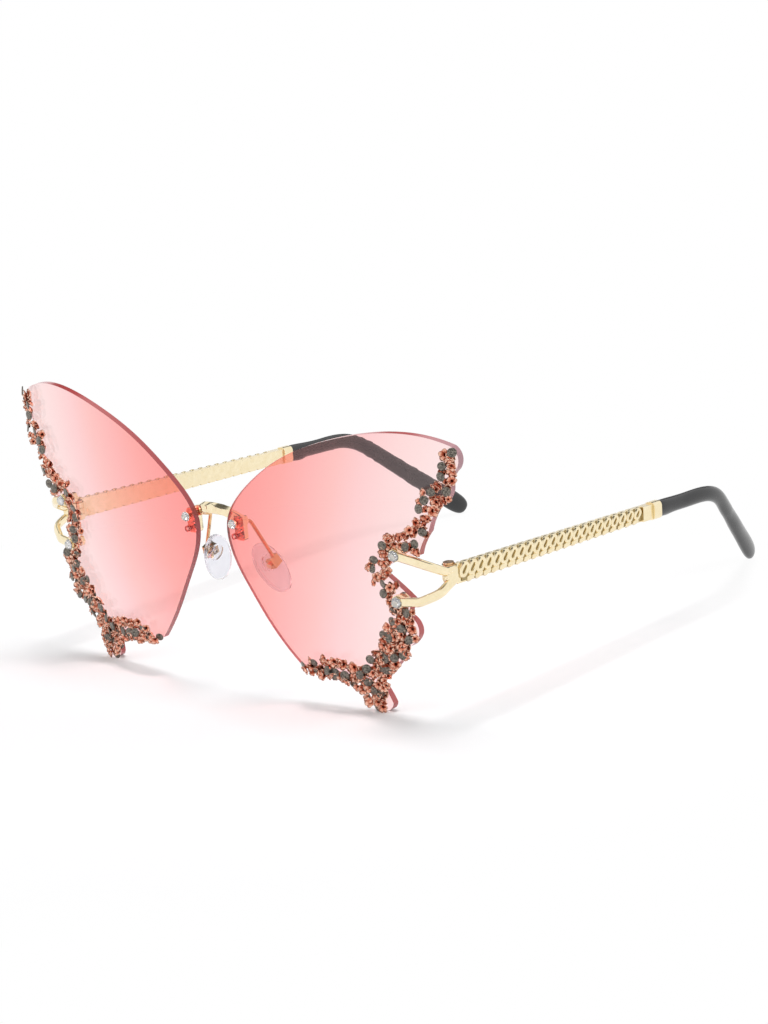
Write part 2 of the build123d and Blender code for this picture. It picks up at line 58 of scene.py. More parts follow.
def addNode(tree, kind, inputs=None, **settings):
    node = tree.nodes.new(kind)
    for name, value in settings.items():
        setattr(node, name, value)
    for name, value in (inputs or {}).items():
        node.inputs[name].default_value = value
    return node


def join(tree, source, target):
    tree.links.new(source, target)


def newGroup(name, ins, outs, kind="ShaderNodeTree"):
    tree = bpy.data.node_groups.new(name, kind)
    for label, socketType, value in ins:
        socket = tree.interface.new_socket(label, in_out="INPUT", socket_type=socketType)
        if value is not None:
            socket.default_value = value
    for label, socketType in outs:
        tree.interface.new_socket(label, in_out="OUTPUT", socket_type=socketType)
    return tree, tree.nodes.new("NodeGroupInput"), tree.nodes.new("NodeGroupOutput")


def keepPiece(name, mesh, body, replaced=()):
    piece = bpy.data.objects.new(name, mesh)
    scene.collection.objects.link(piece)
    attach(piece, body)
    if replaced:
        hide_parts(*replaced)
    return piece


# Shader groups


def makeGrainGroup():
    # fine unevenness of a polished or moulded surface: roughness and height
    tree, start, end = newGroup(
        "fineGrain",
        [
            ("Scale", "NodeSocketFloat", 900.0),
            ("Roughness", "NodeSocketFloat", 0.2),
            ("Variation", "NodeSocketFloat", 0.1),
            ("Depth", "NodeSocketFloat", 0.1),
        ],
        [("Roughness", "NodeSocketFloat"), ("Normal", "NodeSocketVector"), ("Mask", "NodeSocketFloat")],
    )
    coords = addNode(tree, "ShaderNodeTexCoord")
    noise = addNode(tree, "ShaderNodeTexNoise", {"Detail": 4.0, "Roughness": 0.6})
    join(tree, coords.outputs["Object"], noise.inputs["Vector"])
    join(tree, start.outputs["Scale"], noise.inputs["Scale"])
    centre = addNode(tree, "ShaderNodeMath", {1: 0.5}, operation="SUBTRACT")
    join(tree, noise.outputs["Fac"], centre.inputs[0])
    vary = addNode(tree, "ShaderNodeMath", operation="MULTIPLY_ADD")
    join(tree, centre.outputs[0], vary.inputs[0])
    join(tree, start.outputs["Variation"], vary.inputs[1])
    join(tree, start.outputs["Roughness"], vary.inputs[2])
    bump = addNode(tree, "ShaderNodeBump", {"Distance": 0.0001})
    join(tree, start.outputs["Depth"], bump.inputs["Strength"])
    join(tree, noise.outputs["Fac"], bump.inputs["Height"])
    join(tree, vary.outputs[0], end.inputs["Roughness"])
    join(tree, bump.outputs["Normal"], end.inputs["Normal"])
    join(tree, noise.outputs["Fac"], end.inputs["Mask"])
    return tree


def makeTintGroup():
    # colour across the face, from the nose outwards and down, the same on both sides
    tree, start, end = newGroup(
        "acrossFace",
        [
            ("Inner", "NodeSocketFloat", 0.006),
            ("Outer", "NodeSocketFloat", 0.077),
            ("Waver", "NodeSocketFloat", 0.01),
            ("Slope", "NodeSocketFloat", 0.0),
            ("Level", "NodeSocketFloat", 0.033),
        ],
        [("Place", "NodeSocketFloat")],
    )
    coords = addNode(tree, "ShaderNodeTexCoord")
    parts = addNode(tree, "ShaderNodeSeparateXYZ")
    join(tree, coords.outputs["Object"], parts.inputs[0])
    across = addNode(tree, "ShaderNodeMath", operation="ABSOLUTE")
    join(tree, parts.outputs["X"], across.inputs[0])
    noise = addNode(tree, "ShaderNodeTexNoise", {"Scale": 40.0, "Detail": 2.0})
    join(tree, coords.outputs["Object"], noise.inputs["Vector"])
    wave = addNode(tree, "ShaderNodeMath", {1: 0.5}, operation="SUBTRACT")
    join(tree, noise.outputs["Fac"], wave.inputs[0])
    below = addNode(tree, "ShaderNodeMath", operation="SUBTRACT")
    join(tree, start.outputs["Level"], below.inputs[0])
    join(tree, parts.outputs["Z"], below.inputs[1])
    slanted = addNode(tree, "ShaderNodeMath", operation="MULTIPLY_ADD")
    join(tree, below.outputs[0], slanted.inputs[0])
    join(tree, start.outputs["Slope"], slanted.inputs[1])
    join(tree, across.outputs[0], slanted.inputs[2])
    place = addNode(tree, "ShaderNodeMapRange")
    join(tree, slanted.outputs[0], place.inputs["Value"])
    join(tree, start.outputs["Inner"], place.inputs["From Min"])
    join(tree, start.outputs["Outer"], place.inputs["From Max"])
    total = addNode(tree, "ShaderNodeMath", operation="MULTIPLY_ADD")
    join(tree, wave.outputs[0], total.inputs[0])
    join(tree, start.outputs["Waver"], total.inputs[1])
    join(tree, place.outputs["Result"], total.inputs[2])
    join(tree, total.outputs[0], end.inputs["Place"])
    return tree


def makeSparkleGroup():
    # small flat grains, each leaning and shining its own way
    tree, start, end = newGroup(
        "sparkleGrains",
        [
            ("Scale", "NodeSocketFloat", 4000.0),
            ("Dark", "NodeSocketColor", (0.05, 0.045, 0.04, 1)),
            ("Light", "NodeSocketColor", (0.5, 0.5, 0.48, 1)),
            ("Lean", "NodeSocketFloat", 0.5),
        ],
        [("Color", "NodeSocketColor"), ("Normal", "NodeSocketVector")],
    )
    coords = addNode(tree, "ShaderNodeTexCoord")
    cells = addNode(tree, "ShaderNodeTexVoronoi", feature="F1")
    join(tree, coords.outputs["Object"], cells.inputs["Vector"])
    join(tree, start.outputs["Scale"], cells.inputs["Scale"])
    parts = addNode(tree, "ShaderNodeSeparateColor")
    join(tree, cells.outputs["Color"], parts.inputs["Color"])
    mix = addNode(tree, "ShaderNodeMix", data_type="RGBA")
    join(tree, parts.outputs["Red"], mix.inputs["Factor"])
    join(tree, start.outputs["Dark"], mix.inputs["A"])
    join(tree, start.outputs["Light"], mix.inputs["B"])
    bump = addNode(tree, "ShaderNodeBump", {"Distance": 0.00025})
    join(tree, start.outputs["Lean"], bump.inputs["Strength"])
    join(tree, parts.outputs["Green"], bump.inputs["Height"])
    join(tree, mix.outputs["Result"], end.inputs["Color"])
    join(tree, bump.outputs["Normal"], end.inputs["Normal"])
    return tree


grainGroup = makeGrainGroup()
acrossGroup = makeTintGroup()
sparkleGroup = makeSparkleGroup()


def newMaterial(name):
    material = bpy.data.materials.new(name)
    material.use_nodes = True
    tree = material.node_tree
    return material, tree, tree.nodes["Principled BSDF"], tree.nodes["Material Output"]


def addGrain(tree, skin, look):
    # the fine grain of a finish drives its roughness and its normal
    grain = addNode(tree, "ShaderNodeGroup", node_tree=grainGroup)
    for label in ("Scale", "Roughness", "Variation", "Depth"):
        grain.inputs[label].default_value = look[label.lower()]
    join(tree, grain.outputs["Roughness"], skin.inputs["Roughness"])
    join(tree, grain.outputs["Normal"], skin.inputs["Normal"])
    return grain.outputs["Mask"]


def addRamp(tree, source, stops):
    ramp = addNode(tree, "ShaderNodeValToRGB")
    join(tree, source, ramp.inputs["Fac"])
    band = ramp.color_ramp.elements
    while len(band) < len(stops):
        band.new(0.5)
    for element, (place, colour) in zip(band, stops):
        element.position = place
        element.color = (*colour, 1)
    return ramp.outputs["Color"]


toneStops = {"dark": 0.3, "light": 0.7}  # where on the grain's mask the two tones of a finish lie


def addTones(tree, skin, look):
    # base colour from the two tones of a finish, mixed by its grain
    mask = addGrain(tree, skin, look)
    colour = addRamp(tree, mask, [(place, look[tone]) for tone, place in toneStops.items()])
    join(tree, colour, skin.inputs["Base Color"])
    return colour


def mixed(tree, share, first, second):
    # first where the share is 0, second where it is 1
    mix = addNode(tree, "ShaderNodeMixShader")
    for number, source in enumerate((share, first, second)):
        join(tree, source, mix.inputs[number])
    return mix.outputs[0]


# Materials

metals = {
    "gold": {"light": (0.96, 0.845, 0.595), "dark": (0.90, 0.765, 0.495), "roughness": 0.17, "scale": 500.0},
    # darker gold: painted shade on the sunk floor between the chain links
    "goldPaintedShade": {
        "light": (0.45, 0.36, 0.188), "dark": (0.315, 0.232, 0.112), "roughness": 0.34, "scale": 900.0,
    },
    "goldWire": {"light": (0.82, 0.54, 0.27), "dark": (0.62, 0.38, 0.18), "roughness": 0.17, "scale": 500.0},
    "copper": {"light": (0.90, 0.66, 0.44), "dark": (0.74, 0.42, 0.26), "roughness": 0.22, "scale": 800.0},
    "steel": {"light": (0.62, 0.62, 0.62), "dark": (0.45, 0.45, 0.46), "roughness": 0.3, "scale": 900.0},
}
metalGrain = {"variation": 0.12, "depth": 0.05}


def makeMetal(name, look):
    material, tree, skin, end = newMaterial(name)
    addTones(tree, skin, {**metalGrain, **look})
    skin.inputs["Metallic"].default_value = 1.0
    return material


lensLook = {
    "tint": [
        (0.000, (1.0, 0.315, 0.290)), (0.125, (1.0, 0.360, 0.340)), (0.225, (1.0, 0.408, 0.383)),
        (0.325, (1.0, 0.473, 0.461)), (0.425, (1.0, 0.545, 0.526)), (0.525, (1.0, 0.630, 0.632)),
        (0.625, (1.0, 0.704, 0.697)), (0.725, (1.0, 0.758, 0.748)), (1.000, (1.0, 0.880, 0.890)),
    ],
    "span": {"Inner": 0.0, "Outer": 0.080, "Slope": 0.3},
    "bend": 1.45, "paleShadow": 0.78,
}


def passLamps(tree, skin, colour, end):
    # light from the lamps goes on straight with a part of the tint
    pale = addNode(tree, "ShaderNodeMixRGB", {"Fac": lensLook["paleShadow"], "Color2": (1, 1, 1, 1)})
    join(tree, colour, pale.inputs["Color1"])
    clear = addNode(tree, "ShaderNodeBsdfTransparent")
    join(tree, pale.outputs["Color"], clear.inputs["Color"])
    path = addNode(tree, "ShaderNodeLightPath")
    surface = mixed(tree, path.outputs["Is Shadow Ray"], skin.outputs[0], clear.outputs[0])
    join(tree, surface, end.inputs["Surface"])


def makeLensMaterial():
    # clear tinted plastic; lamps shine through it
    material, tree, skin, end = newMaterial("lensTint")
    place = addNode(tree, "ShaderNodeGroup", node_tree=acrossGroup)
    for label, value in lensLook["span"].items():
        place.inputs[label].default_value = value
    colour = addRamp(tree, place.outputs["Place"], lensLook["tint"])
    join(tree, colour, skin.inputs["Base Color"])
    skin.inputs["Transmission Weight"].default_value = 1.0
    skin.inputs["Roughness"].default_value = 0.0
    skin.inputs["IOR"].default_value = lensLook["bend"]
    passLamps(tree, skin, colour, end)
    return material


# deeper tint on the lens edge: painted light, for the light that the edge gathers inside the lens
rimLook = {
    "colours": [
        (0.0, (0.33, 0.045, 0.05)), (0.6, (0.42, 0.055, 0.055)), (0.8, (0.42, 0.045, 0.045)),
        (1.0, (0.40, 0.20, 0.23)),
    ],
    "scale": 500.0, "roughness": 0.16, "variation": 0.1, "depth": 0.04, "alpha": 0.94, "coat": 0.2,
}


def makeRimMaterial():
    # the polished edge gathers the tint, so it looks deeper; that gathered light is painted into its colour
    # as a deeper tint
    material, tree, skin, end = newMaterial("lensRim")
    place = addNode(tree, "ShaderNodeGroup", node_tree=acrossGroup)
    colour = addRamp(tree, place.outputs["Place"], rimLook["colours"])
    join(tree, colour, skin.inputs["Base Color"])
    addGrain(tree, skin, rimLook)
    skin.inputs["Alpha"].default_value = rimLook["alpha"]
    skin.inputs["Coat Weight"].default_value = rimLook["coat"]
    return material


tipLook = {
    "light": (0.020, 0.020, 0.021), "dark": (0.011, 0.011, 0.012), "scale": 260.0, "roughness": 0.2,
    "variation": 0.08, "depth": 0.02, "coat": 0.25,
}


def makeTipMaterial():
    material, tree, skin, end = newMaterial("tipGloss")
    addTones(tree, skin, tipLook)
    skin.inputs["Coat Weight"].default_value = tipLook["coat"]
    return material


clears = {
    "silicone": {"light": (0.87, 0.87, 0.915), "dark": (0.81, 0.81, 0.865), "roughness": 0.18, "bend": 1.2},
    "rosePlastic": {"light": (0.95, 0.34, 0.30), "dark": (0.80, 0.22, 0.20), "roughness": 0.06, "bend": 1.35},
    "clearPlastic": {"light": (0.98, 0.97, 0.97), "dark": (0.93, 0.92, 0.92), "roughness": 0.06, "bend": 1.4},
}
clearGrain = {"scale": 320.0, "variation": 0.06, "depth": 0.03}


def makeClear(name, look):
    # see-through soft or hard plastic; lamps shine through it
    material, tree, skin, end = newMaterial(name)
    colour = addTones(tree, skin, {**clearGrain, **look})
    skin.inputs["Transmission Weight"].default_value = 1.0
    skin.inputs["IOR"].default_value = look["bend"]
    passLamps(tree, skin, colour, end)
    return material


# petal colours run from painted shade at the foot to painted highlight at the tip
foilLook = {
    "colours": [(0.0, (0.26, 0.035, 0.02)), (0.4, (0.72, 0.25, 0.15)), (1.0, (1.0, 0.69, 0.54))],
    "patch": 0.9, "scale": 420.0, "roughness": 0.21, "variation": 0.15, "depth": 0.1, "metal": 0.85,
}


def makePetalFoil():
    # folded copper foil; the dark red at the foot of a petal is painted shade and the pale at its tip is
    # painted highlight
    material, tree, skin, end = newMaterial("petalFoil")
    reach = addNode(tree, "ShaderNodeAttribute", attribute_name="reach")
    patch = foilLook["patch"]
    shade = addNode(tree, "ShaderNodeMath", {1: patch, 2: -patch / 2}, operation="MULTIPLY_ADD")
    join(tree, addGrain(tree, skin, foilLook), shade.inputs[0])
    total = addNode(tree, "ShaderNodeMath", operation="ADD")
    join(tree, reach.outputs["Fac"], total.inputs[0])
    join(tree, shade.outputs[0], total.inputs[1])
    join(tree, addRamp(tree, total.outputs[0], foilLook["colours"]), skin.inputs["Base Color"])
    skin.inputs["Metallic"].default_value = foilLook["metal"]
    return material


stoneLook = {
    "light": (1.0, 1.0, 1.0), "dark": (0.93, 0.95, 0.97), "scale": 1500.0, "roughness": 0.03,
    "variation": 0.03, "depth": 0.0, "clear": 0.7, "bend": 1.75,
}


def makeStoneMaterial():
    material, tree, skin, end = newMaterial("cutStone")
    addTones(tree, skin, stoneLook)
    skin.inputs["Transmission Weight"].default_value = stoneLook["clear"]
    skin.inputs["IOR"].default_value = stoneLook["bend"]
    return material


glitterLook = {
    "grains": {
        "Scale": 4200.0, "Dark": (0.030, 0.025, 0.020, 1), "Light": (0.30, 0.265, 0.22, 1), "Lean": 0.7,
    },
    "skin": {"Metallic": 0.65, "Roughness": 0.32, "Coat Weight": 0.3},
}


def makeGlitter():
    material, tree, skin, end = newMaterial("glitter")
    sparkle = addNode(tree, "ShaderNodeGroup", node_tree=sparkleGroup)
    for label, value in glitterLook["grains"].items():
        sparkle.inputs[label].default_value = value
    join(tree, sparkle.outputs["Color"], skin.inputs["Base Color"])
    join(tree, sparkle.outputs["Normal"], skin.inputs["Normal"])
    for label, value in glitterLook["skin"].items():
        skin.inputs[label].default_value = value
    return material


finishes = {name: makeMetal(name, look) for name, look in metals.items()}
finishes.update({name: makeClear(name, look) for name, look in clears.items()})
finishes["tipGloss"] = makeTipMaterial()
finishes["lensTint"] = makeLensMaterial()
finishes["lensRim"] = makeRimMaterial()
finishes["petalFoil"] = makePetalFoil()
finishes["cutStone"] = makeStoneMaterial()
finishes["glitter"] = makeGlitter()

slotFinish = {
    "lens_tint": "lensTint", "gold": "gold", "copper": "copper", "petal_foil": "petalFoil",
    "glitter": "glitter", "stone": "cutStone", "clear": "clearPlastic", "silicone": "silicone",
    "steel": "steel", "tip_gloss": "tipGloss",
}
# the pins take the colour of the lens behind them, and the pad fittings are of a darker gold
ownFinish = {
    "bridge_pins": "rosePlastic", "pad_arm_left": "goldWire", "pad_arm_right": "goldWire",
    "pad_box_left": "goldWire", "pad_box_right": "goldWire",
}
for name, node in nodes.items():
    for place in node.material_slots:
        slotName = place.material.name.split(".")[0]
        place.material = finishes[ownFinish.get(name, slotFinish[slotName])]
print("materials ready:", len(finishes))


# Lens: the CAD shape, with its polished edge as a finish of its own

# the bowl is in metres and in the home frame; thick and thinner are in mm
bowl = {
    "across": 0.01566, "level": 0.04782, "front": -0.0057, "wrap": 0.180, "drop": 0.294, "rimLimit": 0.8,
    "thick": 2.0, "thinner": 0.35,
}


def facing(point):
    # the way the lens front faces at a point of the row frame; side is the sign of x
    across = abs(point.x) - bowl["across"]
    rise = point.z - rowShift.z - bowl["level"]
    slopeX = across / bowl["wrap"] * (1 if point.x > 0 else -1)
    return Vector((slopeX, -1, rise / bowl["drop"])).normalized()


def frontAt(point):
    # how far back the lens front lies at a place across and up
    across = abs(point.x) - bowl["across"]
    rise = point.z - rowShift.z - bowl["level"]
    reach = bowl["drop"] - bowl["wrap"] + math.sqrt(bowl["wrap"] ** 2 - across ** 2)
    return bowl["front"] + bowl["drop"] - math.sqrt(reach ** 2 - rise ** 2) + rowShift.y


def makeLens(side):
    mesh = nodes["lens_" + side].data.copy()
    mesh.name = "lens" + side.title()
    mesh.materials.clear()
    mesh.materials.append(finishes["lensTint"])
    mesh.materials.append(finishes["lensRim"])
    for vert in mesh.vertices:
        depth = (vert.co.y - frontAt(vert.co)) / mm
        share = min(max(depth / bowl["thick"], 0), 1)
        vert.co += facing(vert.co) * share * bowl["thinner"] * mm
    for face in mesh.polygons:
        onFace = abs(face.normal.dot(facing(face.center))) > bowl["rimLimit"]
        face.material_index = 0 if onFace else 1
    return keepPiece("lens" + side.title(), mesh, "front", ["lens_" + side])


for side in sides:
    makeLens(side)
print("lenses ready")


# Bridge: the CAD casting, with a facet along the upper front edge of each half

bridgeLook = {
    "step": 0.5, "reach": 6.5, "nearCut": 0.01,
    "from": 0.2, "to": 6.2, "facet": 0.95, "swell": 0.6, "sharp": 26,
}
mergeGap = 1e-6  # metres; corners nearer to each other than this become one


def edgeLines(form):
    # top, front and back of the casting at every cut, by the number of the cut
    rows = {}
    for vert in form.verts:
        place = vert.co.x / mm / bridgeLook["step"]
        if abs(place - round(place)) < bridgeLook["nearCut"]:
            rows.setdefault(round(place), []).append(vert.co)
    edges = {}
    for number, row in rows.items():
        depths = [spot.y for spot in row]
        edges[number] = (max(spot.z for spot in row), min(depths), max(depths))
    return edges


def makeBridge():
    look = bridgeLook
    form = bmesh.new()
    form.from_mesh(nodes["bridge"].data)
    bmesh.ops.remove_doubles(form, verts=form.verts, dist=mergeGap)
    cuts = int(2 * look["reach"] / look["step"]) + 1
    for number in range(cuts):
        across = (number * look["step"] - look["reach"]) * mm
        geometry = form.verts[:] + form.edges[:] + form.faces[:]
        bmesh.ops.bisect_plane(form, geom=geometry, plane_co=(across, 0, 0), plane_no=(1, 0, 0))
    edges = edgeLines(form)
    for vert in form.verts:
        share = (abs(vert.co.x) / mm - look["from"]) / (look["to"] - look["from"])
        if not 0 < share < 1:
            continue
        place = vert.co.x / mm / look["step"]
        before = math.floor(place)
        part = place - before
        top, front, back = (a + (b - a) * part for a, b in zip(edges[before], edges[before + 1]))
        slope = look["facet"] * mm * math.sin(math.pi * share) ** look["swell"]
        vert.co.z = min(vert.co.z, top - slope * (back - vert.co.y) / (back - front))
    bmesh.ops.dissolve_degenerate(form, edges=form.edges, dist=mergeGap)
    mesh = bpy.data.meshes.new("bridgeBar")
    form.to_mesh(mesh)
    form.free()
    mesh.shade_smooth()
    mesh.set_sharp_from_angle(angle=math.radians(look["sharp"]))
    mesh.materials.append(finishes["gold"])
    keepPiece("bridgeBar", mesh, "front", ["bridge"])


makeBridge()
print("bridge ready")


# Repeats: Geometry Nodes puts a template on every point


def makeRepeatTree():
    tree, start, end = newGroup(
        "repeatOnPoints",
        [
            ("Points", "NodeSocketGeometry", None),
            ("Template", "NodeSocketObject", None),
            ("Finish", "NodeSocketMaterial", None),
            ("Lean", "NodeSocketFloat", 0.0),
            ("Spin", "NodeSocketFloat", 0.0),
            ("Smallest", "NodeSocketFloat", 1.0),
            ("Largest", "NodeSocketFloat", 1.0),
            ("Seed", "NodeSocketInt", 1),
        ],
        [("Mesh", "NodeSocketGeometry")],
        "GeometryNodeTree",
    )
    info = addNode(tree, "GeometryNodeObjectInfo", {"As Instance": True})
    join(tree, start.outputs["Template"], info.inputs["Object"])
    turn = addNode(tree, "GeometryNodeInputNamedAttribute", {"Name": "turn"}, data_type="FLOAT_VECTOR")
    size = addNode(tree, "GeometryNodeInputNamedAttribute", {"Name": "size"}, data_type="FLOAT_VECTOR")
    aim = addNode(tree, "FunctionNodeEulerToRotation")
    join(tree, turn.outputs["Attribute"], aim.inputs[0])
    low = addNode(tree, "ShaderNodeCombineXYZ")
    high = addNode(tree, "ShaderNodeCombineXYZ")
    for label, axes in (("Lean", "XY"), ("Spin", "Z")):
        back = addNode(tree, "ShaderNodeMath", {1: -1.0}, operation="MULTIPLY")
        join(tree, start.outputs[label], back.inputs[0])
        for axis in axes:
            join(tree, back.outputs[0], low.inputs[axis])
            join(tree, start.outputs[label], high.inputs[axis])
    wobble = addNode(tree, "FunctionNodeRandomValue", data_type="FLOAT_VECTOR")
    join(tree, low.outputs[0], wobble.inputs["Min"])
    join(tree, high.outputs[0], wobble.inputs["Max"])
    join(tree, start.outputs["Seed"], wobble.inputs["Seed"])
    turned = addNode(tree, "FunctionNodeRotateRotation", rotation_space="LOCAL")
    join(tree, aim.outputs[0], turned.inputs["Rotation"])
    join(tree, wobble.outputs["Value"], turned.inputs["Rotate By"])
    grow = addNode(tree, "FunctionNodeRandomValue", data_type="FLOAT")
    growIn = [socket for socket in grow.inputs if socket.enabled]
    join(tree, start.outputs["Smallest"], growIn[0])
    join(tree, start.outputs["Largest"], growIn[1])
    join(tree, start.outputs["Seed"], grow.inputs["Seed"])
    scaled = addNode(tree, "ShaderNodeVectorMath", operation="SCALE")
    join(tree, size.outputs["Attribute"], scaled.inputs[0])
    join(tree, [socket for socket in grow.outputs if socket.enabled][0], scaled.inputs["Scale"])
    place = addNode(tree, "GeometryNodeInstanceOnPoints")
    join(tree, start.outputs["Points"], place.inputs["Points"])
    join(tree, info.outputs["Geometry"], place.inputs["Instance"])
    join(tree, turned.outputs[0], place.inputs["Rotation"])
    join(tree, scaled.outputs[0], place.inputs["Scale"])
    real = addNode(tree, "GeometryNodeRealizeInstances")
    join(tree, place.outputs[0], real.inputs[0])
    paint = addNode(tree, "GeometryNodeSetMaterial")
    join(tree, real.outputs[0], paint.inputs["Geometry"])
    join(tree, start.outputs["Finish"], paint.inputs["Material"])
    join(tree, paint.outputs[0], end.inputs["Mesh"])
    return tree


repeatTree = makeRepeatTree()
repeatInputs = [item for item in repeatTree.interface.items_tree if item.in_out == "INPUT"]
identifiers = {item.name: item.identifier for item in repeatInputs}


def newMesh(name, points, faces, smooth=True):
    mesh = bpy.data.meshes.new(name)
    mesh.from_pydata([tuple(point) for point in points], [], faces)
    if smooth:
        mesh.shade_smooth()
    else:
        mesh.shade_flat()
    return mesh


def ringFaces(rings, count):
    # faces between rings of count points that follow each other
    faces = []
    for ring in range(rings - 1):
        low, high = ring * count, (ring + 1) * count
        for number in range(count):
            after = (number + 1) % count
            faces.append((low + number, low + after, high + after, high + number))
    return faces


def repeat(spots, template, finish, **values):
    # spots: (place, turn matrix, size per axis); returns one real mesh
    cloud = newMesh("spots", [place for place, turn, size in spots], [])
    turns = cloud.attributes.new("turn", "FLOAT_VECTOR", "POINT")
    sizes = cloud.attributes.new("size", "FLOAT_VECTOR", "POINT")
    for number, (place, turn, size) in enumerate(spots):
        turns.data[number].vector = turn.to_euler()
        sizes.data[number].vector = size
    holder = bpy.data.objects.new("spots", cloud)
    model = bpy.data.objects.new("template", template)
    scene.collection.objects.link(holder)
    maker = holder.modifiers.new("repeat", "NODES")
    maker.node_group = repeatTree
    maker[identifiers["Template"]] = model
    maker[identifiers["Finish"]] = finishes[finish]
    for label, value in values.items():
        maker[identifiers[label]] = value
    bpy.context.view_layer.update()
    made = bpy.data.meshes.new_from_object(holder.evaluated_get(bpy.context.evaluated_depsgraph_get()))
    bpy.data.objects.remove(holder)
    bpy.data.objects.remove(model)
    return made


def joined(name, meshes):
    whole = bmesh.new()
    finishList = []
    for mesh in meshes:
        first = len(whole.faces)
        whole.from_mesh(mesh)
        whole.faces.ensure_lookup_table()
        shift = len(finishList)
        for face in whole.faces[first:]:
            face.material_index += shift
        finishList.extend(mesh.materials)
    result = bpy.data.meshes.new(name)
    whole.to_mesh(result)
    whole.free()
    for finish in finishList:
        result.materials.append(finish)
    return result


def mirrored(mesh, name):
    other = mesh.copy()
    other.name = name
    other.transform(Matrix.Scale(-1, 4, Vector((1, 0, 0))))
    other.flip_normals()
    return other


def bothSides(name, mesh, bodies, replaced):
    # the left piece and its mirror image on the right
    for side, body in zip(sides, bodies):
        own = mesh if side == "left" else mirrored(mesh, name + "Right")
        keepPiece(name + side.title(), own, body, [node + "_" + side for node in replaced])


# Chain relief of the temples

chainLook = {
    "outset": 1.8, "gap": 0.15, "drop": 3.9, "inward": 1.4, "length": 77.4, "front": 5.2, "rear": 3.9,
    "floor": 0.70, "top": 1.55, "start": 0.35, "end": 73.3, "endShare": 0.4, "pitch": 3.2,
    "link": (4.8, 3.6), "hole": (1.9, 0.5), "slant": 47, "rise": 0.13, "around": 20, "rows": 5,
    "leaf": (3.6, 2.0), "leafTop": (0.9, 0.15), "leafSlant": 20, "leafDrop": 0.31, "leafShift": 0.8,
    "leafAround": 14, "leafRows": 3, "leafShare": 0.85,
    "swell": 0.55, "stripShare": 0.42, "stripStart": 1.5, "stripThick": 0.2,
}


def templeTurn():
    # X along the temple, Y up, Z outwards
    drop, inward = math.radians(chainLook["drop"]), math.radians(chainLook["inward"])
    along = Vector((-math.sin(inward), math.cos(inward) * math.cos(drop), -math.sin(drop)))
    out = (Vector((1, 0, 0)) - along * along.x).normalized()
    return Matrix((along, out.cross(along), out)).transposed()


templeAxes = templeTurn()
hingeOffset = Vector((chainLook["outset"], chainLook["gap"], 0)) * mm
templeStart = Vector(frame["joints"][0]["pos_m"]) + hingeOffset


def chainHeight(along):
    return chainLook["front"] + (chainLook["rear"] - chainLook["front"]) * along / chainLook["length"]


def slotOutline(length, width, count):
    # points round a slot, half of them on each end arc
    points = []
    half = count // 2
    for end in (1, -1):
        for number in range(half):
            turn = math.pi * (number / (half - 1) - 0.5)
            x = (length - width) / 2 + width / 2 * math.cos(turn)
            points.append((end * x, end * width / 2 * math.sin(turn)))
    return points


def cushion(name, outer, inner, height, rows, count, hollow):
    # rounded, between two slot outlines; a hollow one is a link, else the inner outline is its top
    points = []
    outerPoints, innerPoints = slotOutline(*outer, count), slotOutline(*inner, count)
    arc = math.pi if hollow else math.pi / 2
    for row in range(rows + 1):
        share = row / rows
        rise = math.sin(arc * share) ** chainLook["swell"]
        for (x0, y0), (x1, y1) in zip(outerPoints, innerPoints):
            points.append(Vector((x0 + (x1 - x0) * share, y0 + (y1 - y0) * share, height * rise)) * mm)
    faces = ringFaces(rows + 1, count)
    top = rows * count
    if hollow:
        for number in range(count):
            after = (number + 1) % count
            faces.append((number, top + number, top + after, after))
    else:
        faces.append(tuple(range(top, top + count)))
        faces.append(tuple(reversed(range(count))))
    return newMesh(name, points, faces)


def makeStrip():
    # the sunk floor that shows between the links, in a darker gold that paints the shade there
    look = chainLook
    corners = []
    for along in (look["stripStart"], look["end"]):
        for level in (-look["stripShare"], look["stripShare"]):
            for depth in (look["floor"], look["floor"] + look["stripThick"]):
                corner = Vector((along, level * chainHeight(along), depth)) * mm
                corners.append(templeStart + templeAxes @ corner)
    faces = [(0, 4, 5, 1), (2, 3, 7, 6), (0, 1, 3, 2), (4, 6, 7, 5), (1, 5, 7, 3), (0, 2, 6, 4)]
    strip = newMesh("strip", corners, faces, smooth=False)
    strip.materials.append(finishes["goldPaintedShade"])
    return strip


def makeChain():
    look = chainLook
    height = look["top"] - look["floor"]
    link = cushion("link", look["link"], look["hole"], height, look["rows"], look["around"], True)
    height *= look["leafShare"]
    leaf = cushion("leaf", look["leaf"], look["leafTop"], height, look["leafRows"], look["leafAround"], False)
    margin = look["endShare"] * look["link"][0]
    room = look["end"] - look["start"] - 2 * margin
    count = round(room / look["pitch"])
    links, leaves = [], []
    for number in range(count + 1):
        along = look["start"] + margin + room * number / count
        tall = chainHeight(along) / look["front"]
        for spots, shift, level, slant in (
            (links, 0, look["rise"], look["slant"]),
            (leaves, look["pitch"] * look["leafShift"], -look["leafDrop"], look["leafSlant"]),
        ):
            if number == count and shift:
                continue
            local = Vector((along + shift, level * chainHeight(along), look["floor"])) * mm
            turn = templeAxes @ Matrix.Rotation(math.radians(slant), 3, "Z")
            spots.append((templeStart + templeAxes @ local, turn, Vector((tall, tall, 1))))
    whole = joined("templeChain", [repeat(links, link, "gold"), repeat(leaves, leaf, "gold"), makeStrip()])
    bothSides("templeChain", whole, ["temple_left", "temple_right"], ["temple_chain"])


makeChain()
print("chain relief ready")


# Trim: glitter discs and folded copper petals on the places that the CAD gives, and more between them

